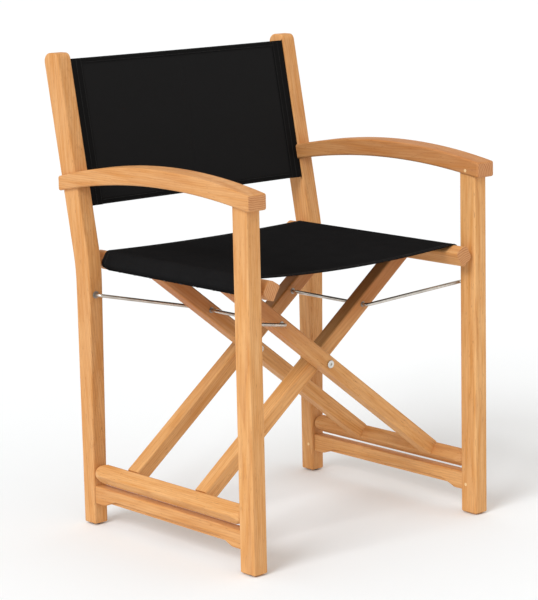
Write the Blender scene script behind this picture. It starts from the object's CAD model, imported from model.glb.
"""Looks of a folding teak director chair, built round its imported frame.

Frame: +X to the right as seen from the front, +Y to the back, +Z up, in metres.
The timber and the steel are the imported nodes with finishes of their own. The seat and the back
are sewn from cloth here, with hems and stitching, and ride on the bodies that carry them.
"""

import logging
import math
from dataclasses import dataclass, field
from enum import Enum
from typing import Any, Callable, Dict, Iterable, List, Optional, Sequence, Tuple

import bmesh
import bpy
from mathutils import Euler, Matrix, Vector


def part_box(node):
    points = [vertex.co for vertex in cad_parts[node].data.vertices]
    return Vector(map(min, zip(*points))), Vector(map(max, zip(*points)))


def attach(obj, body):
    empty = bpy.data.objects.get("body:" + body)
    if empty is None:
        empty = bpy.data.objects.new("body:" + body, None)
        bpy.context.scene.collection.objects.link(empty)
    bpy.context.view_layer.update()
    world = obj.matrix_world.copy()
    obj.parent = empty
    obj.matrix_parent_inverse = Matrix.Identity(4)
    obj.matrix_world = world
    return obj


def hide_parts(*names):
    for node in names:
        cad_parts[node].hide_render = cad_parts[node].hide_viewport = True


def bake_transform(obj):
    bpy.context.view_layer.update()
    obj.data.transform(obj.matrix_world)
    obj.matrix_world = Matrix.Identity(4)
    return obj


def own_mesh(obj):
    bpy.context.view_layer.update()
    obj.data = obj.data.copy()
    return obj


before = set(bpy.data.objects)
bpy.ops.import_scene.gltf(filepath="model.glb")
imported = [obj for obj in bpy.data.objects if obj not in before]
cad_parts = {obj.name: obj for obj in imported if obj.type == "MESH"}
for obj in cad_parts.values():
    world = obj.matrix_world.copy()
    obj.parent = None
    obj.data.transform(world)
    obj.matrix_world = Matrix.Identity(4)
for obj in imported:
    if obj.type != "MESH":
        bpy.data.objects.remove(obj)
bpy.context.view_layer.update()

log = logging.getLogger("director_chair")

Colour = Tuple[float, float, float, float]
Shape = Callable[[float, float], Vector]
Flat = Tuple[float, float]
MILLIMETRE = 0.001


def mm(*lengths: float) -> Any:
    """Lengths in millimetres as metres, one number or a tuple."""
    scaled = tuple(length * MILLIMETRE for length in lengths)
    return scaled[0] if len(scaled) == 1 else scaled


def shade(code: str) -> Colour:
    """A six-digit hexadecimal shade as linear red, green, blue and alpha.

    Args:
        code: the shade, such as "c08040".

    Returns:
        The linear colour with an alpha of one.
    """
    channels = [int(code[start:start + 2], 16) / 255 for start in (0, 2, 4)]
    linear = [c / 12.92 if c <= 0.04045 else ((c + 0.055) / 1.055) ** 2.4 for c in channels]
    return (linear[0], linear[1], linear[2], 1.0)


# ---------------------------------------------------------------- shader maths


class Value:
    """A number that varies over a surface: one output socket, with arithmetic."""

    def __init__(self, graph: "Graph", socket: bpy.types.NodeSocket) -> None:
        """Keep the socket and the graph that new Math nodes go into."""
        self.graph = graph
        self.socket = socket

    def _math(self, operation: str, *terms: Any) -> "Value":
        """One Math node on these terms.

        Args:
            operation: the node's operation.
            terms: its inputs in order, each a Value or a number.

        Returns:
            The node's result.
        """
        made = self.graph.node("ShaderNodeMath", {"operation": operation},
                               dict(enumerate(terms)))
        return Value(self.graph, made.outputs[0])

    def __add__(self, other: Any) -> "Value":
        """Sum."""
        return self._math("ADD", self, other)

    def __radd__(self, other: Any) -> "Value":
        """Sum, with the number first."""
        return self._math("ADD", other, self)

    def __sub__(self, other: Any) -> "Value":
        """Difference."""
        return self._math("SUBTRACT", self, other)

    def __rsub__(self, other: Any) -> "Value":
        """Difference, with the number first."""
        return self._math("SUBTRACT", other, self)

    def __mul__(self, other: Any) -> "Value":
        """Product."""
        return self._math("MULTIPLY", self, other)

    def __rmul__(self, other: Any) -> "Value":
        """Product, with the number first."""
        return self._math("MULTIPLY", other, self)

    def __truediv__(self, other: Any) -> "Value":
        """Quotient."""
        return self._math("DIVIDE", self, other)

    def sine(self) -> "Value":
        """Sine of an angle in radians."""
        return self._math("SINE", self)

    def size(self) -> "Value":
        """Size without the sign."""
        return self._math("ABSOLUTE", self)

    def fraction(self) -> "Value":
        """What is left over the last whole number."""
        return self._math("FRACT", self)

    def kept(self, low: float, high: float) -> "Value":
        """The number, held between two limits."""
        return self._math("MINIMUM", self._math("MAXIMUM", self, low), high)

    def rising(self, low: float, high: float) -> "Value":
        """A smooth step from 0 below low to 1 above high.

        Args:
            low: where the step starts.
            high: where the step ends; it may lie below low for a falling step.

        Returns:
            The step, between 0 and 1.
        """
        made = self.graph.node("ShaderNodeMapRange", {"interpolation_type": "SMOOTHSTEP"},
                               {"Value": self, "From Min": low, "From Max": high})
        return Value(self.graph, made.outputs["Result"])


class Graph:
    """The node tree of one material."""

    def __init__(self, name: str) -> None:
        """Start an empty material of that name.

        Args:
            name: the material's name.
        """
        self.material = bpy.data.materials.new(name)
        self.material.use_nodes = True
        self.tree = self.material.node_tree
        self.tree.nodes.clear()

    def node(self, kind: str, settings: Optional[Dict[str, Any]] = None,
             sockets: Optional[Dict[Any, Any]] = None) -> bpy.types.Node:
        """A new node, with its settings first and then the values or links of its sockets.

        Args:
            kind: the node's type.
            settings: attributes by name; "stops" holds a ramp's (place, colour) pairs.
            sockets: a value, Value or output socket for each input, by name or index.

        Returns:
            The node.
        """
        made = self.tree.nodes.new(kind)
        for name, setting in (settings or {}).items():
            if name == "stops":
                self._place_stops(made.color_ramp, setting)
            else:
                setattr(made, name, setting)
        for key, value in (sockets or {}).items():
            if isinstance(value, Value):
                value = value.socket
            if isinstance(value, bpy.types.NodeSocket):
                self.tree.links.new(value, made.inputs[key])
            else:
                made.inputs[key].default_value = value
        return made

    @staticmethod
    def _place_stops(ramp: bpy.types.ColorRamp, stops: Sequence[Tuple[float, Colour]]) -> None:
        """Give a ramp exactly these stops, in rising order.

        Args:
            ramp: the ramp to fill.
            stops: each stop's place and colour.
        """
        while len(ramp.elements) < len(stops):
            ramp.elements.new(1.0)
        for element, (place, tint) in zip(ramp.elements, stops):
            element.position = place
            element.color = tint

    def value(self, socket: bpy.types.NodeSocket) -> Value:
        """Wrap an output socket for arithmetic."""
        return Value(self, socket)

    def object_place(self) -> bpy.types.NodeSocket:
        """The point on the piece, in the frame's metres."""
        return self.node("ShaderNodeTexCoord").outputs["Object"]

    def object_axis(self, axis: str) -> Value:
        """The point's place along X, Y or Z, in the frame's metres."""
        parts = self.node("ShaderNodeSeparateXYZ", None, {0: self.object_place()})
        return self.value(parts.outputs[axis])

    def cloth_place(self) -> Tuple[Value, Value, bpy.types.NodeSocket]:
        """The point on the flat cloth in metres.

        Returns:
            The place across, the place along, and both as one vector.
        """
        vector = self.node("ShaderNodeUVMap", {"uv_map": "cloth"}).outputs["UV"]
        parts = self.node("ShaderNodeSeparateXYZ", None, {0: vector})
        return self.value(parts.outputs["X"]), self.value(parts.outputs["Y"]), vector

    def mapped(self, vector: bpy.types.NodeSocket, scale: Sequence[float] = (1, 1, 1),
               turn: Sequence[float] = (0, 0, 0), shift: Sequence[float] = (0, 0, 0)
               ) -> bpy.types.NodeSocket:
        """A point scaled, then turned, then shifted.

        Args:
            vector: the point.
            scale: factors along X, Y and Z.
            turn: Euler angles in radians.
            shift: what is added at the end.

        Returns:
            The new point.
        """
        made = self.node("ShaderNodeMapping", {"vector_type": "POINT"},
                         {"Vector": vector, "Location": shift, "Rotation": turn, "Scale": scale})
        return made.outputs[0]

    def noise(self, vector: bpy.types.NodeSocket, scale: float, detail: float = 2.0,
              roughness: float = 0.5, seed: float = 0.0) -> Value:
        """Soft noise between 0 and 1.

        Args:
            vector: where it is read.
            scale: features per metre.
            detail: octaves.
            roughness: weight of the fine octaves.
            seed: which noise.

        Returns:
            The noise.
        """
        made = self.node("ShaderNodeTexNoise", {"noise_dimensions": "4D"},
                         {"Vector": vector, "W": seed, "Scale": scale, "Detail": detail,
                          "Roughness": roughness})
        return self.value(made.outputs[0])

    def blended(self, factor: Any, first: Any, second: Any, way: str = "MIX"
                ) -> bpy.types.NodeSocket:
        """Two colours mixed.

        Args:
            factor: share of the second, a number or Value.
            first: a colour or colour socket.
            second: a colour or colour socket.
            way: the blend type.

        Returns:
            The mixed colour.
        """
        made = self.node("ShaderNodeMix", {"data_type": "RGBA", "blend_type": way},
                         {0: factor, 6: first, 7: second})
        return made.outputs[2]

    def bump(self, height: Value, strength: float, depth: float) -> bpy.types.NodeSocket:
        """A normal that leans with a height.

        Args:
            height: the relief, about 0 to 1.
            strength: share of the effect.
            depth: what 1 stands for, in metres.

        Returns:
            The normal.
        """
        made = self.node("ShaderNodeBump", None,
                         {"Strength": strength, "Distance": depth, "Height": height})
        return made.outputs["Normal"]

    def surface(self, **sockets: Any) -> bpy.types.Material:
        """Close the graph with one principled surface.

        Args:
            sockets: its inputs, with spaces in their names written as underscores.

        Returns:
            The finished material.
        """
        named = {key.replace("_", " "): value for key, value in sockets.items()}
        shader = self.node("ShaderNodeBsdfPrincipled", None, named)
        self.node("ShaderNodeOutputMaterial", None, {"Surface": shader.outputs[0]})
        return self.material


# ---------------------------------------------------------------- finishes


CROSS_HEIGHT = 0.315
PIVOT_HEIGHT = 0.101
PIVOT_REACH = 0.2754
LEG_SLOPE = math.atan2(CROSS_HEIGHT - PIVOT_HEIGHT, PIVOT_REACH)


class Grain(Enum):
    """Which way the wood's fibres run through a piece, as the turn that brings them upright."""

    UPRIGHT = (0.0, 0.0, 0.0)
    LEANING = (0.10, 0.0, 0.0)
    FRONT_TO_BACK = (math.pi / 2, 0.0, 0.0)
    RISING_RIGHT = (0.0, LEG_SLOPE - math.pi / 2, 0.0)
    RISING_LEFT = (0.0, math.pi / 2 - LEG_SLOPE, 0.0)
    ACROSS = (0.0, -math.pi / 2, 0.0)


@dataclass(frozen=True)
class Board:
    """One board of the chair: where it was cut from its log.

    Attributes:
        node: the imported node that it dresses.
        grain: which way its fibres run.
        pith: how far the log's centre lies from the piece's middle, across the grain.
        tone: how much darker than the average the board is, as a share.
        seed: which log.
    """

    node: str
    grain: Grain
    pith: Tuple[float, float]
    tone: float
    seed: float


@dataclass(frozen=True)
class Teak:
    """Fine-sanded teak, with growth rings round an off-piece pith, fibres and open pores."""

    pale: str = "e4b176"
    warm: str = "d0914c"
    late: str = "90441a"
    pore: str = "5f2f14"
    sawn: str = "c68f60"
    unbleached: str = "a34c18"
    late_share: float = 0.26
    fibre_share: float = 0.36
    pore_share: float = 0.52
    cloud_share: float = 0.40
    sheltered_share: float = 0.50
    sawn_share: float = 0.75
    shade_heights: Tuple[float, float] = (0.30, 0.44)
    ring_spacing: float = 0.0041
    ring_wander: float = 0.034
    ring_ripple: float = 0.0060
    skew: float = 0.022
    roughness: float = 0.56

    def material(self, board: Board) -> bpy.types.Material:
        """The board's own wood.

        Args:
            board: the piece's grain, pith, tone and seed.

        Returns:
            A material that reads the piece's own space.
        """
        graph = Graph("teak_" + board.node)
        low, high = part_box(board.node)
        turn = Euler(board.grain.value)
        turn.x += self.skew * math.cos(board.seed)
        turn.y += self.skew * math.sin(board.seed)
        middle = turn.to_matrix() @ ((low + high) / 2)
        shift = (-middle.x - board.pith[0], -middle.y - board.pith[1], -middle.z)
        log_place = graph.mapped(graph.object_place(), turn=tuple(turn), shift=shift)
        drawn_out = graph.mapped(log_place, scale=(1.0, 1.0, 0.16))
        wander = (graph.noise(drawn_out, 9.0, 2.0, 0.5, board.seed) - 0.5) * self.ring_wander
        ripple = (graph.noise(drawn_out, 60.0, 3.0, 0.6, board.seed + 1) - 0.5) * self.ring_ripple
        across = graph.mapped(log_place, scale=(1.0, 1.0, 0.0))
        length = graph.node("ShaderNodeVectorMath", {"operation": "LENGTH"}, {0: across})
        radius = graph.value(length.outputs["Value"]) + wander + ripple
        ring = (radius / self.ring_spacing).fraction()
        year = graph.noise(across, 70.0, 0.0, 0.5, board.seed + 2)
        late_wood = ring.rising(0.35, 0.93) * ring.rising(1.0, 0.95) * (0.30 + 0.75 * year)
        fibre_place = graph.mapped(log_place, scale=(1.0, 1.0, 0.035))
        fibre = graph.noise(fibre_place, 620.0, 3.0, 0.62, board.seed + 3)
        streak = graph.noise(graph.mapped(log_place, scale=(1.0, 1.0, 0.07)), 130.0, 3.0, 0.6,
                             board.seed + 4)
        pore = graph.noise(graph.mapped(log_place, scale=(1.0, 1.0, 0.06)), 1150.0, 1.0, 0.5,
                           board.seed + 5).rising(0.66, 0.74)
        cloud = graph.noise(graph.mapped(log_place, scale=(1.0, 1.0, 0.4)), 14.0, 3.0, 0.55,
                            board.seed + 6)
        wood = graph.blended(streak.rising(0.25, 0.80), shade(self.pale), shade(self.warm))
        wood = graph.blended(late_wood * self.late_share, wood, shade(self.late))
        wood = graph.blended(fibre.rising(0.50, 0.80) * self.fibre_share, wood, shade(self.late))
        wood = graph.blended(pore * self.pore_share, wood, shade(self.pore))
        dark = board.tone + (cloud - 0.5) * self.cloud_share
        wood = graph.blended(dark.kept(0.0, 0.8), wood, shade(self.late))
        wood = graph.blended((0.0 - dark).kept(0.0, 0.6), wood, shade(self.pale))
        if board.grain in (Grain.RISING_LEFT, Grain.RISING_RIGHT):
            wood = graph.blended(self.shelter(graph), wood, shade(self.unbleached))
        if board.grain is Grain.FRONT_TO_BACK:
            rings = graph.blended(late_wood, shade(self.sawn), shade(self.late))
            wood = graph.blended(self.ends(graph, low.y, high.y), wood, rings)
        relief = fibre * 0.5 - pore - late_wood * 0.2
        return graph.surface(
            Base_Color=wood,
            Roughness=self.roughness + (fibre - 0.5) * 0.22 + pore * 0.18,
            IOR=1.46,
            Specular_IOR_Level=0.34,
            Normal=graph.bump(relief, 0.35, mm(0.12)),
        )

    def shelter(self, graph: Graph) -> Value:
        """How much of its redness the wood keeps, high up in the shade of the seat."""
        return graph.object_axis("Z").rising(*self.shade_heights) * self.sheltered_share

    def ends(self, graph: Graph, front: float, rear: float) -> Value:
        """The sawn ends of a board that runs from front to back.

        Args:
            graph: the board's graph.
            front: where its front end is.
            rear: where its rear end is.

        Returns:
            A mask, largest on the ends.
        """
        depth = graph.object_axis("Y")
        start, full = mm(0.7, 0.3)
        return (depth.rising(front + start, front + full)
                + depth.rising(rear - start, rear - full)) * self.sawn_share


@dataclass(frozen=True)
class SatinSteel:
    """Drawn stainless steel with fine scratches and a few duller patches."""

    tint: str = "d8d5ce"
    dull: str = "b4b0a9"
    roughness: float = 0.28

    def material(self, name: str) -> bpy.types.Material:
        """The steel's material.

        Args:
            name: the material's name.

        Returns:
            The new material.
        """
        graph = Graph(name)
        place = graph.object_place()
        scratch = graph.noise(graph.mapped(place, scale=(0.05, 1.0, 1.0)), 1900.0, 2.0, 0.6, 3.0)
        patch = graph.noise(place, 38.0, 3.0, 0.6, 8.0)
        metal = graph.blended(patch.rising(0.35, 0.75), shade(self.tint), shade(self.dull))
        return graph.surface(
            Base_Color=metal,
            Metallic=1.0,
            Roughness=self.roughness + (scratch - 0.5) * 0.16 + (patch - 0.5) * 0.14,
            Normal=graph.bump(scratch, 0.12, mm(0.04)),
        )


@dataclass(frozen=True)
class MeshCloth:
    """Coated mesh cloth: round yarns in a plain weave, a little glossy on their tops."""

    yarn: str = "1a1a1b"
    gap: str = "050506"
    pitch: float = 0.0015
    roughness: float = 0.78
    gloss: float = 0.12

    def material(self, name: str) -> bpy.types.Material:
        """The cloth's material; it reads the piece's flat map in metres.

        Args:
            name: the material's name.

        Returns:
            The new material.
        """
        graph = Graph(name)
        across, along, flat = graph.cloth_place()
        warp = (across * (math.pi / self.pitch)).sine().size()
        weft = (along * (math.pi / self.pitch)).sine().size()
        checker = ((across * (math.pi / self.pitch)).sine()
                   * (along * (math.pi / self.pitch)).sine())
        over = checker.rising(-0.6, 0.6)
        height = warp * (1.0 - over) + weft * over
        slub = graph.noise(graph.mapped(flat, scale=(1.0, 0.03, 1.0)), 420.0, 2.0, 0.6, 2.0)
        slub_across = graph.noise(graph.mapped(flat, scale=(0.03, 1.0, 1.0)), 420.0, 2.0, 0.6, 4.0)
        dust = graph.noise(flat, 26.0, 4.0, 0.62, 6.0)
        lit = height * (0.72 + 0.28 * slub + 0.28 * slub_across) + (dust - 0.5) * 0.5
        return graph.surface(
            Base_Color=graph.blended(lit.kept(0.0, 1.0), shade(self.gap), shade(self.yarn)),
            Roughness=self.roughness + (slub - 0.5) * 0.18 + (dust - 0.5) * 0.2,
            Specular_IOR_Level=self.gloss,
            Normal=graph.bump(height, 0.35, mm(0.25)),
        )


@dataclass(frozen=True)
class Nylon:
    """Moulded plastic with a fine spark-eroded texture."""

    tint: str = "4b4b4d"
    rubbed: str = "6a6a6b"

    def material(self, name: str) -> bpy.types.Material:
        """The plastic's material.

        Args:
            name: the material's name.

        Returns:
            The new material.
        """
        graph = Graph(name)
        place = graph.object_place()
        grit = graph.noise(place, 2600.0, 2.0, 0.6, 1.0)
        scuff = graph.noise(place, 210.0, 3.0, 0.65, 5.0).rising(0.52, 0.72)
        return graph.surface(
            Base_Color=graph.blended(scuff * 0.6, shade(self.tint), shade(self.rubbed)),
            Roughness=0.52 + (grit - 0.5) * 0.2 + scuff * 0.12,
            Normal=graph.bump(grit, 0.2, mm(0.05)),
        )


@dataclass(frozen=True)
class SewingThread:
    """Bonded polyester thread, and the stitches made of it."""

    tint: str = "161617"
    worn: str = "202022"
    stitch: float = 0.0027
    gap: float = 0.0007
    thickness: float = 0.0007

    def material(self, name: str) -> bpy.types.Material:
        """The thread's material.

        Args:
            name: the material's name.

        Returns:
            The new material.
        """
        graph = Graph(name)
        ply = graph.noise(graph.object_place(), 1700.0, 2.0, 0.6, 9.0)
        return graph.surface(
            Base_Color=graph.blended(ply.rising(0.35, 0.7), shade(self.tint), shade(self.worn)),
            Roughness=0.42 + (ply - 0.5) * 0.3,
            Normal=graph.bump(ply, 0.4, mm(0.06)),
        )


# ---------------------------------------------------------------- cloth in the flat


class Route:
    """A flat path of straight runs joined by tangent arcs, followed by its length."""

    def __init__(self, start: Flat, corners: Sequence[Tuple[float, float, float]], end: Flat
                 ) -> None:
        """Lay out the runs and arcs.

        Args:
            start: the first point.
            corners: (across, up, radius) of each corner.
            end: the last point.
        """
        self.runs: List[Tuple[float, Callable[[float], Vector]]] = []
        here = Vector(start)
        points = [Vector(corner[:2]) for corner in corners] + [Vector(end)]
        for index, (_, _, radius) in enumerate(corners):
            corner = points[index]
            back = (here - corner).normalized()
            ahead = (points[index + 1] - corner).normalized()
            half = back.angle(ahead) / 2
            reach = radius / math.tan(half)
            centre = corner + (back + ahead).normalized() * (radius / math.sin(half))
            way = 1.0 if ahead.x * back.y - ahead.y * back.x > 0 else -1.0
            self._straight(here, corner + back * reach)
            self._arc(centre, corner + back * reach - centre, way, math.pi - 2 * half)
            here = corner + ahead * reach
        self._straight(here, points[-1])
        self.length = sum(length for length, _ in self.runs)

    def _straight(self, start: Vector, end: Vector) -> None:
        """Add a straight run."""
        length = (end - start).length
        self.runs.append((length, lambda far: start + (end - start) * (far / length)))

    def _arc(self, centre: Vector, arm: Vector, way: float, angle: float) -> None:
        """Add an arc that turns an arm about a centre.

        Args:
            centre: the arc's centre.
            arm: from the centre to the arc's start.
            way: +1 for anticlockwise, -1 for clockwise.
            angle: how far it turns, in radians.
        """
        radius = arm.length

        def point(far: float) -> Vector:
            """The point that far along the arc.

            Args:
                far: the distance from the arc's start.

            Returns:
                The point.
            """
            turned = arm.copy()
            turned.rotate(Matrix.Rotation(way * far / radius, 2))
            return centre + turned

        self.runs.append((radius * angle, point))

    def at(self, distance: float) -> Vector:
        """The point at a distance along the path.

        Args:
            distance: the distance from the path's start.

        Returns:
            The point.
        """
        for length, point in self.runs[:-1]:
            if distance <= length:
                return point(distance)
            distance -= length
        return self.runs[-1][1](distance)


def flat_cloth(across: Tuple[float, float], along: Tuple[float, float],
               cell: Tuple[float, float]) -> bmesh.types.BMesh:
    """A flat rectangle of cloth as a grid, with a map in metres.

    Args:
        across: its lowest and highest place across.
        along: its lowest and highest place along.
        cell: the size of a cell, across and along.

    Returns:
        The grid, facing up.
    """
    bm = bmesh.new()
    size = Vector((across[1] - across[0], along[1] - along[0]))
    bmesh.ops.create_grid(bm, x_segments=max(1, round(size.x / cell[0])),
                          y_segments=max(1, round(size.y / cell[1])), size=0.5)
    bmesh.ops.scale(bm, vec=(size.x, size.y, 1.0), verts=bm.verts)
    bmesh.ops.translate(bm, vec=(sum(across) / 2, sum(along) / 2, 0.0), verts=bm.verts)
    return bm


def hang(bm: bmesh.types.BMesh, shape: Shape) -> None:
    """Put flat cloth in its place, after drawing its map.

    Args:
        bm: the flat cloth.
        shape: where each flat point goes.
    """
    layer = bm.loops.layers.uv.new("cloth")
    for face in bm.faces:
        face.smooth = True
        for loop in face.loops:
            loop[layer].uv = loop.vert.co.xy
    for vert in bm.verts:
        vert.co = shape(vert.co.x, vert.co.y)


def meshed(bm: bmesh.types.BMesh) -> bpy.types.Mesh:
    """The bmesh as a mesh; the bmesh is freed.

    Args:
        bm: the finished bmesh.

    Returns:
        The new mesh.
    """
    mesh = bpy.data.meshes.new("cloth")
    bm.to_mesh(mesh)
    bm.free()
    return mesh


def finished(mesh: bpy.types.Mesh, name: str, material: bpy.types.Material) -> bpy.types.Object:
    """The mesh as an object at the origin, with its material and the record's slot.

    Args:
        mesh: the shape in the frame's place.
        name: the piece's name.
        material: its finish.

    Returns:
        The piece.
    """
    mesh.name = name
    mesh.materials.append(material)
    piece = bpy.data.objects.new(name, mesh)
    bpy.context.scene.collection.objects.link(piece)
    log.info("%s: %d faces", name, len(mesh.polygons))
    return piece


def thicken(piece: bpy.types.Object, thickness: float) -> None:
    """Give a sheet its thickness, half to each side.

    Args:
        piece: the sheet.
        thickness: in metres.
    """
    wall = piece.modifiers.new("thickness", "SOLIDIFY")
    wall.thickness = thickness
    wall.offset = 0.0
    wall.use_even_offset = True
    wall.use_quality_normals = True
    piece.modifiers.new("even_shading", "WEIGHTED_NORMAL")


def sew(mesh: bpy.types.Mesh, shape: Shape, start: Flat, end: Flat, thread: SewingThread,
        lift: float) -> None:
    """Add a straight row of stitches on shaped cloth.

    Args:
        mesh: the mesh that takes the stitches after those it has.
        shape: where flat points go.
        start: the row's first flat point.
        end: the row's last flat point.
        thread: the stitches' sizes.
        lift: how far above the cloth's middle their middles are; negative is behind it.
    """
    first, last = Vector(start), Vector(end)
    run = last - first
    count = max(1, int(run.length / (thread.stitch + thread.gap)))
    step = run.normalized() * mm(1.0)
    side = Vector((-step.y, step.x))
    bm = bmesh.new()
    for index in range(count):
        flat = first + run * ((index + 0.5) / count)
        along = (shape(*(flat + step)) - shape(*(flat - step))).normalized()
        over = (shape(*(flat + side)) - shape(*(flat - side))).normalized()
        out = along.cross(over).normalized()
        over = out.cross(along)
        place = Matrix((along * (thread.stitch / 2), over * (thread.thickness / 2),
                        out * (thread.thickness / 2))).transposed().to_4x4()
        place.translation = shape(*flat) + out * lift
        bmesh.ops.create_uvsphere(bm, u_segments=6, v_segments=4, radius=1.0, matrix=place)
    for face in bm.faces:
        face.smooth = True
    bm.from_mesh(mesh)
    bm.to_mesh(mesh)
    bm.free()


# ---------------------------------------------------------------- the chair


class Side(Enum):
    """A side of the chair."""

    LEFT = -1
    RIGHT = 1

    @property
    def word(self) -> str:
        """The side's name as the nodes end with it."""
        return self.name.lower()


def dress(node: str, material: bpy.types.Material) -> None:
    """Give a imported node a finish.

    Args:
        node: the node's name.
        material: its new material.
    """
    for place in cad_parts[node].material_slots:
        place.material = material
    log.info("%s: dressed with %s", node, material.name)


@dataclass
class Timber:
    """All wooden pieces of the chair and the log that each was cut from."""

    teak: Teak = Teak()
    cream: Teak = Teak(pale="f3d6a6", warm="e6bf87", late="c28f55")
    darker: Dict[str, float] = field(default_factory=lambda: {
        "armrest_right": 0.42, "armrest_left": 0.26, "back_post_right": 0.12,
        "back_post_left": 0.12, "front_post_right": 0.05, "front_post_left": 0.04,
        "lower_stretcher_left": 0.20, "lower_stretcher_right": 0.14,
        "cross_leg_front_inner": 0.04, "cross_leg_front_outer": 0.02,
        "cross_leg_rear_outer": 0.10, "cross_leg_rear_inner": 0.08, "seat_rail_right": 0.16,
        "seat_rail_left": 0.15, "pivot_rail_right": 0.14})
    quarter_sawn: float = 0.16
    flat_sawn: float = 0.055
    flat_sawn_every: int = 3
    pith_turn: float = 2.4
    tone_spread: float = 0.06

    def boards(self) -> Iterable[Board]:
        """Every wooden piece with its grain.

        Returns:
            The boards, in the order in which they are dressed.
        """
        frames = (("front_post", Grain.UPRIGHT), ("back_post", Grain.LEANING),
                  ("armrest", Grain.FRONT_TO_BACK), ("lower_stretcher", Grain.FRONT_TO_BACK),
                  ("seat_rail", Grain.FRONT_TO_BACK), ("pivot_rail", Grain.FRONT_TO_BACK),
                  ("joint_pegs", Grain.ACROSS))
        legs = (("cross_leg_front_inner", Grain.RISING_RIGHT),
                ("cross_leg_front_outer", Grain.RISING_LEFT),
                ("cross_leg_rear_inner", Grain.RISING_LEFT),
                ("cross_leg_rear_outer", Grain.RISING_RIGHT))
        named = [(name + "_" + side.word, grain) for side in Side for name, grain in frames]
        for index, (node, grain) in enumerate(named + list(legs)):
            angle = self.pith_turn * index
            reach = self.quarter_sawn if index % self.flat_sawn_every else self.flat_sawn
            pith = (reach * math.cos(angle), reach * math.sin(angle))
            tone = self.darker.get(node, 0.0) + self.tone_spread * math.sin(1.7 * index + 0.6)
            yield Board(node, grain, pith, tone, 3.0 + 7.31 * index)

    def build(self) -> None:
        """Dress every wooden piece."""
        for board in self.boards():
            wood = self.cream if board.node.startswith("joint_pegs") else self.teak
            dress(board.node, wood.material(board))


@dataclass
class Hardware:
    """The steel stays, bolts and bushes, and the plastic glides and sling rods."""

    rod_steel: SatinSteel = SatinSteel()
    turned_steel: SatinSteel = SatinSteel(tint="dad8d2", dull="bcbab5", roughness=0.24)
    bush_steel: SatinSteel = SatinSteel(tint="a5a29d", dull="7f7c78", roughness=0.34)
    blued_steel: SatinSteel = SatinSteel(tint="1b1b1d", dull="121213", roughness=0.48)
    nylon: Nylon = Nylon()

    def build(self) -> None:
        """Dress every metal and plastic piece."""
        rod = self.rod_steel.material("satin_rod")
        turned = self.turned_steel.material("turned_steel")
        sleeve = self.bush_steel.material("drawn_sleeve")
        blued = self.blued_steel.material("blued_steel")
        plastic = self.nylon.material("moulded_nylon")
        for side in Side:
            dress("stay_" + side.word, rod)
            for name in ("leg_bushes", "stay_bushes"):
                dress(name + "_" + side.word, sleeve)
            dress("pivot_pins_" + side.word, turned)
            dress("seat_tacks_" + side.word, blued)
            for name in ("floor_glides", "back_sling_rod"):
                dress(name + "_" + side.word, plastic)
        for name in ("cross_bolts", "cross_bolt_nuts", "cross_washers"):
            dress(name, turned)


@dataclass
class Sewing:
    """What both slings are made of."""

    thickness: float = 0.0009
    upright: MeshCloth = MeshCloth()
    level: MeshCloth = MeshCloth(yarn="212122", gap="0d0d0e", gloss=0.0)
    doubled: MeshCloth = MeshCloth(yarn="0c0c0d", gap="020203")
    thread: SewingThread = SewingThread()

    def __post_init__(self) -> None:
        """Make the four materials once."""
        self.back_layer = self.upright.material("black_mesh_back")
        self.seat_layer = self.level.material("black_mesh_seat")
        self.double_layer = self.doubled.material("black_mesh_doubled")
        self.thread_material = self.thread.material("black_thread")


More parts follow.
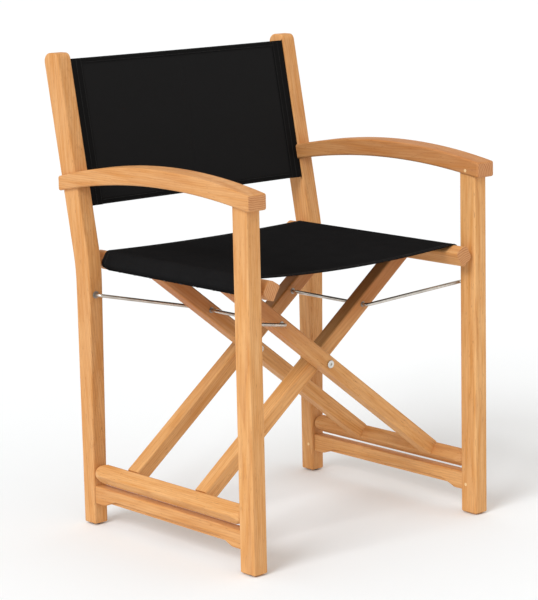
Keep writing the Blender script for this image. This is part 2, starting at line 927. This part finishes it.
@dataclass
class SeatSling:
    """The seat: one cloth that goes over both seat rails and is tacked underneath them."""

    sewing: Sewing
    rail: Flat = (0.2345, 0.49722)
    rail_section: Flat = (0.028, 0.031)
    rail_tilt: float = math.radians(31.0)
    shoulder_round: float = 0.010
    lower_round: float = 0.008
    tacked_edge: float = -0.007
    standoff: float = 0.0017
    layer_step: float = 0.00095
    front_sag: float = 0.0095
    rear_sag: float = 0.0040
    middle_sag: float = 0.0022
    leg_hold: float = 0.035
    hem: float = 0.013
    edge_row: float = 0.0020
    fold_row: float = 0.0025
    cell: Flat = (0.0026, 0.0105)

    def __post_init__(self) -> None:
        """Work out the path over the right rail and the cloth's depth."""
        low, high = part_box("seat_sling")
        self.front, self.rear = low.y, high.y
        self.path = self.path_at(self.standoff)
        self.top = self.path.at(0.0).y

    def path_at(self, standoff: float) -> Route:
        """The way of a layer from the seat's middle over the right rail to its tacked edge.

        Args:
            standoff: how far the layer's middle lies off the rail.

        Returns:
            The path, across and up.
        """
        along = Vector((math.cos(self.rail_tilt), math.sin(self.rail_tilt)))
        across = Vector((-along.y, along.x))
        half_along = self.rail_section[0] / 2 + standoff
        half_across = self.rail_section[1] / 2 + standoff

        def section(a: float, b: float) -> Vector:
            """A point of the rail's section, a along and b across its tilt."""
            return Vector(self.rail) + along * a + across * b

        bend = self.shoulder_round + standoff
        top = section(half_along - bend, half_across - bend).y + bend
        low, high = section(half_along, -half_across), section(half_along, half_across)
        shoulder = low + (high - low) * ((top - low.y) / (high.y - low.y))
        return Route((0.0, top), [(shoulder.x, top, bend), (*low, self.lower_round + standoff)],
                     tuple(section(self.tacked_edge, -half_across)))

    def sag(self, x: float, y: float) -> float:
        """How far the cloth hangs below its rails' tops.

        Args:
            x: the place between the rails.
            y: the place from front to back.

        Returns:
            The drop in metres.
        """
        share = (y - self.front) / (self.rear - self.front)
        depth = self.front_sag + (self.rear_sag - self.front_sag) * share
        depth += self.middle_sag * math.sin(math.pi * share)
        return depth * max(0.0, 1 - (x / self.rail[0]) ** 2)

    def shape(self, path: Route) -> Shape:
        """The shape of the layer that follows a path.

        Args:
            path: the layer's way over the right rail.

        Returns:
            A function of the distance from the seat's middle along the cloth and the depth.
        """
        def place(flat_x: float, y: float) -> Vector:
            """Where a point of this layer goes."""
            point = path.at(abs(flat_x))
            return Vector((math.copysign(point.x, flat_x), y, point.y - self.sag(point.x, y)))

        return place

    def follow_legs(self, piece: bpy.types.Object) -> None:
        """Let a piece of the seat bend between the two crossed frames.

        Args:
            piece: the piece of the seat.
        """
        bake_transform(piece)

    def layer(self, name: str, path: Route, depth: Flat, cell: Flat,
              material: bpy.types.Material) -> bpy.types.Object:
        """One layer of cloth over both rails.

        Args:
            name: the piece's name.
            path: its way over the right rail.
            depth: where it starts and ends, from front to back.
            cell: the size of its cells, across and along.
            material: its finish.

        Returns:
            The piece.
        """
        bm = flat_cloth((-path.length, path.length), depth, cell)
        hang(bm, self.shape(path))
        piece = finished(meshed(bm), name, material)
        thicken(piece, self.sewing.thickness)
        return piece

    def build_stitching(self) -> bpy.types.Object:
        """Two rows along each of the hems, on top of the cloth and round the rails.

        Returns:
            The piece.
        """
        mesh = bpy.data.meshes.new("stitches")
        lift = self.sewing.thickness / 2 + mm(0.1)
        reach = self.path.length - mm(1.0)
        for y in (self.front + self.edge_row, self.front + self.hem - self.fold_row,
                  self.rear - self.edge_row, self.rear - self.hem + self.fold_row):
            sew(mesh, self.shape(self.path), (-reach, y), (reach, y), self.sewing.thread, lift)
        return finished(mesh, "seat_stitching", self.sewing.thread_material)

    def build(self) -> None:
        """Sew the whole seat."""
        cloth = self.layer("seat_cloth", self.path, (self.front, self.rear), self.cell,
                           self.sewing.seat_layer)
        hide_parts("seat_sling")
        turned = self.path_at(self.standoff - self.layer_step)
        hem_cell = (self.cell[0], self.hem / 3)
        pieces = [self.layer("seat_hem_front", turned, (self.front, self.front + self.hem),
                             hem_cell, self.sewing.double_layer),
                  self.layer("seat_hem_rear", turned, (self.rear - self.hem, self.rear),
                             hem_cell, self.sewing.double_layer),
                  self.build_stitching()]
        for piece in (cloth, *pieces):
            self.follow_legs(piece)


@dataclass
class BackSling:
    """The back: a panel between the back posts, with a doubled tunnel at each end.

    The two side frames are not joined to each other, so the panel is made as two halves that meet
    in the middle. Each rides on its own frame and gathers towards its post as the chair folds.
    """

    sewing: Sewing
    lean_foot: Flat = (0.17227, 0.4933)
    lean_top: Flat = (0.24787, 0.878)
    panel_behind: float = 0.00500
    layer_step: float = 0.00094
    bow: float = 0.0045
    tunnel: float = 0.026
    tunnel_hang: float = 0.0005
    hem: float = 0.010
    hem_gap: float = 0.0004
    hem_row: float = 0.0018
    tunnel_rows: Flat = (0.002, 0.013)
    gathered: float = 0.335
    cell: Flat = (0.0075, 0.0075)

    def __post_init__(self) -> None:
        """Read the panel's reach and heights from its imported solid."""
        low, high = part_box("back_sling")
        self.reach = high.x
        self.bottom, self.top = low.z + mm(2.0), high.z
        self.inner_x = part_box("back_post_right")[0].x

    def shape(self, behind: float) -> Shape:
        """The shape of a layer of the panel.

        Args:
            behind: how far the layer lies behind the posts' leaning front faces.

        Returns:
            A function of the place across and the height.
        """
        foot, top = Vector(self.lean_foot), Vector(self.lean_top)
        lean = (top - foot).normalized()

        def place(x: float, z: float) -> Vector:
            """Where a point of this layer goes.

            Args:
                x: its place across the back.
                z: its height.

            Returns:
                The point in space.
            """
            share = (z - foot.y) / (top.y - foot.y)
            hollow = self.bow * max(0.0, 1 - (x / self.inner_x) ** 2)
            point = foot + (top - foot) * share + Vector((lean.y, -lean.x)) * (behind + hollow)
            return Vector((x, point.x, point.y))

        return place

    def ride(self, piece: bpy.types.Object, side: Side) -> None:
        """Let a piece gather towards its post and ride on that side frame.

        Args:
            piece: the piece of the back.
            side: the side it belongs to.
        """
        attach(piece, side.word + "_side_frame")
        side.value * self.inner_x
        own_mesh(piece)

    def layer(self, name: str, side: Side, across: Flat, heights: Flat, behind: float,
              material: bpy.types.Material) -> bpy.types.Object:
        """One flat layer of cloth on one side.

        Args:
            name: the piece's name before the side's.
            side: which half.
            across: its span from the middle outwards.
            heights: its lowest and highest points.
            behind: its depth behind the posts' faces.
            material: its finish.

        Returns:
            The piece.
        """
        span = sorted(side.value * x for x in across)
        bm = flat_cloth((span[0], span[1]), heights, self.cell)
        hang(bm, self.shape(behind))
        piece = finished(meshed(bm), name + "_" + side.word, material)
        thicken(piece, self.sewing.thickness)
        self.ride(piece, side)
        return piece

    def stitching(self, side: Side) -> bpy.types.Object:
        """The seams of one half, as seen from the front and from the back.

        Args:
            side: the half's side.

        Returns:
            The piece.
        """
        mesh = bpy.data.meshes.new("stitches")
        front = self.shape(self.panel_behind - self.layer_step)
        back = self.shape(self.panel_behind)
        lift = self.sewing.thickness / 2 + mm(0.1)
        tunnel_edge = self.inner_x - self.tunnel
        rows: List[Tuple[Flat, Flat]] = []
        for inset in self.tunnel_rows:
            x = side.value * (tunnel_edge + inset)
            rows.append(((x, self.bottom), (x, self.top - mm(1.5))))
        for z in (self.bottom + self.hem_row, self.bottom + self.hem - self.hem_row,
                  self.top - self.hem_row, self.top - self.hem + self.hem_row):
            rows.append(((0.0, z), (side.value * (tunnel_edge - mm(1.0)), z)))
        for start, end in rows:
            sew(mesh, front, start, end, self.sewing.thread, lift * self.outward(front, start, end))
            sew(mesh, back, start, end, self.sewing.thread, -lift * self.outward(back, start, end))
        piece = finished(mesh, "back_stitching_" + side.word, self.sewing.thread_material)
        self.ride(piece, side)
        return piece

    @staticmethod
    def outward(shape: Shape, start: Flat, end: Flat) -> float:
        """Whether a row's own upward side faces the front or the back.

        Args:
            shape: where a flat point goes.
            start: the row's start on the flat cloth.
            end: the row's end on the flat cloth.

        Returns:
            +1 for the front, -1 for the back.
        """
        run = (Vector(end) - Vector(start)).normalized() * mm(1.0)
        side = Vector((-run.y, run.x))
        here = Vector(start)
        along = shape(*(here + run)) - shape(*here)
        over = shape(*(here + side)) - shape(*here)
        return 1.0 if along.cross(over).y < 0 else -1.0

    def build(self) -> None:
        """Sew both halves."""
        tunnel_edge = self.inner_x - self.tunnel
        hem_span = (0.0, tunnel_edge - self.hem_gap)
        front = self.panel_behind - self.layer_step
        for side in Side:
            panel = self.layer("back_cloth", side, (0.0, self.reach), (self.bottom, self.top),
                               self.panel_behind, self.sewing.back_layer)
            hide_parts("back_sling")
            pieces = [
                self.layer("back_tunnel", side, (tunnel_edge, self.reach),
                           (self.bottom - self.tunnel_hang, self.top), front,
                           self.sewing.double_layer),
                self.layer("back_hem_top", side, hem_span, (self.top - self.hem, self.top),
                           front, self.sewing.double_layer),
                self.layer("back_hem_bottom", side, hem_span,
                           (self.bottom, self.bottom + self.hem), front,
                           self.sewing.double_layer),
                self.stitching(side),
            ]
            self.top - self.bottom


# ---------------------------------------------------------------- the studio


@dataclass
class Studio:
    """A pale floor, soft light and the camera."""

    floor_size: float = 80.0
    floor_dark: Colour = (0.88, 0.93, 0.975, 1.0)
    floor_light: Colour = (0.90, 0.95, 0.995, 1.0)
    sky_tint: Colour = (1.0, 0.94, 0.88, 1.0)
    sky_strength: float = 0.80
    key_strength: float = 1.68
    fill_strength: float = 0.14
    camera_place: Tuple[float, float, float] = (-2.785, -3.214, 1.2165)
    azimuth: float = math.radians(-40.86)
    elevation: float = math.radians(10.70)
    roll: float = math.radians(-1.22)
    lens: float = 139.7

    def build_floor(self) -> None:
        """The pale floor, with a faint mottle."""
        bm = bmesh.new()
        bmesh.ops.create_grid(bm, x_segments=8, y_segments=8, size=self.floor_size / 2)
        mesh = bpy.data.meshes.new("floor")
        bm.to_mesh(mesh)
        bm.free()
        floor = bpy.data.objects.new("floor", mesh)
        bpy.context.scene.collection.objects.link(floor)
        graph = Graph("pale_floor")
        mottle = graph.noise(graph.object_place(), 0.8, 2.0, 0.5, 0.0)
        paper = graph.blended(mottle, self.floor_dark, self.floor_light)
        mesh.materials.append(graph.surface(Base_Color=paper, Roughness=0.9,
                                            Specular_IOR_Level=0.1))

    def build_light(self) -> None:
        """Warm white surroundings, a broad key light from the left, and a faint fill."""
        world = bpy.data.worlds.new("white_room")
        world.use_nodes = True
        sky = world.node_tree.nodes["Background"]
        sky.inputs["Color"].default_value = self.sky_tint
        sky.inputs["Strength"].default_value = self.sky_strength
        bpy.context.scene.world = world
        self.sun("key", (math.radians(52), 0.0, math.radians(-78)), self.key_strength,
                 math.radians(28))
        self.sun("fill", (math.radians(58), 0.0, math.radians(20)), self.fill_strength,
                 math.radians(60))

    @staticmethod
    def sun(name: str, turn: Tuple[float, float, float], strength: float, spread: float) -> None:
        """A very distant broad light.

        Args:
            name: the light's name.
            turn: its Euler angles.
            strength: its strength.
            spread: its apparent size in radians.
        """
        lamp = bpy.data.lights.new(name, "SUN")
        lamp.energy = strength
        lamp.angle = spread
        holder = bpy.data.objects.new(name, lamp)
        holder.rotation_euler = turn
        bpy.context.scene.collection.objects.link(holder)

    def build_camera(self) -> None:
        """The camera, turned by its azimuth, elevation and roll."""
        flat = math.cos(self.elevation)
        back = Vector((math.sin(self.azimuth) * flat, -math.cos(self.azimuth) * flat,
                       math.sin(self.elevation)))
        level = Vector((0.0, 0.0, 1.0)).cross(back).normalized()
        upward = back.cross(level)
        right = level * math.cos(self.roll) + upward * math.sin(self.roll)
        up = upward * math.cos(self.roll) - level * math.sin(self.roll)
        pose = Matrix((right, up, back)).transposed().to_4x4()
        pose.translation = self.camera_place
        lens = bpy.data.cameras.new("camera")
        lens.lens = self.lens
        lens.clip_end = 200.0
        camera = bpy.data.objects.new("camera", lens)
        camera.matrix_world = pose
        bpy.context.scene.collection.objects.link(camera)
        bpy.context.scene.camera = camera

    def build(self) -> None:
        """Set up the whole studio."""
        bpy.context.scene.view_settings.view_transform = "Standard"
        self.build_floor()
        self.build_light()
        self.build_camera()
        log.info("studio: floor, light and camera")


def main() -> None:
    """Build the chair's looks in order."""
    logging.basicConfig(level=logging.INFO, format="%(name)s: %(message)s")
    sewing = Sewing()
    for part in (Studio(), Timber(), Hardware(), SeatSling(sewing), BackSling(sewing)):
        log.info("building %s", type(part).__name__)
        part.build()


if __name__ == "__main__":
    main()
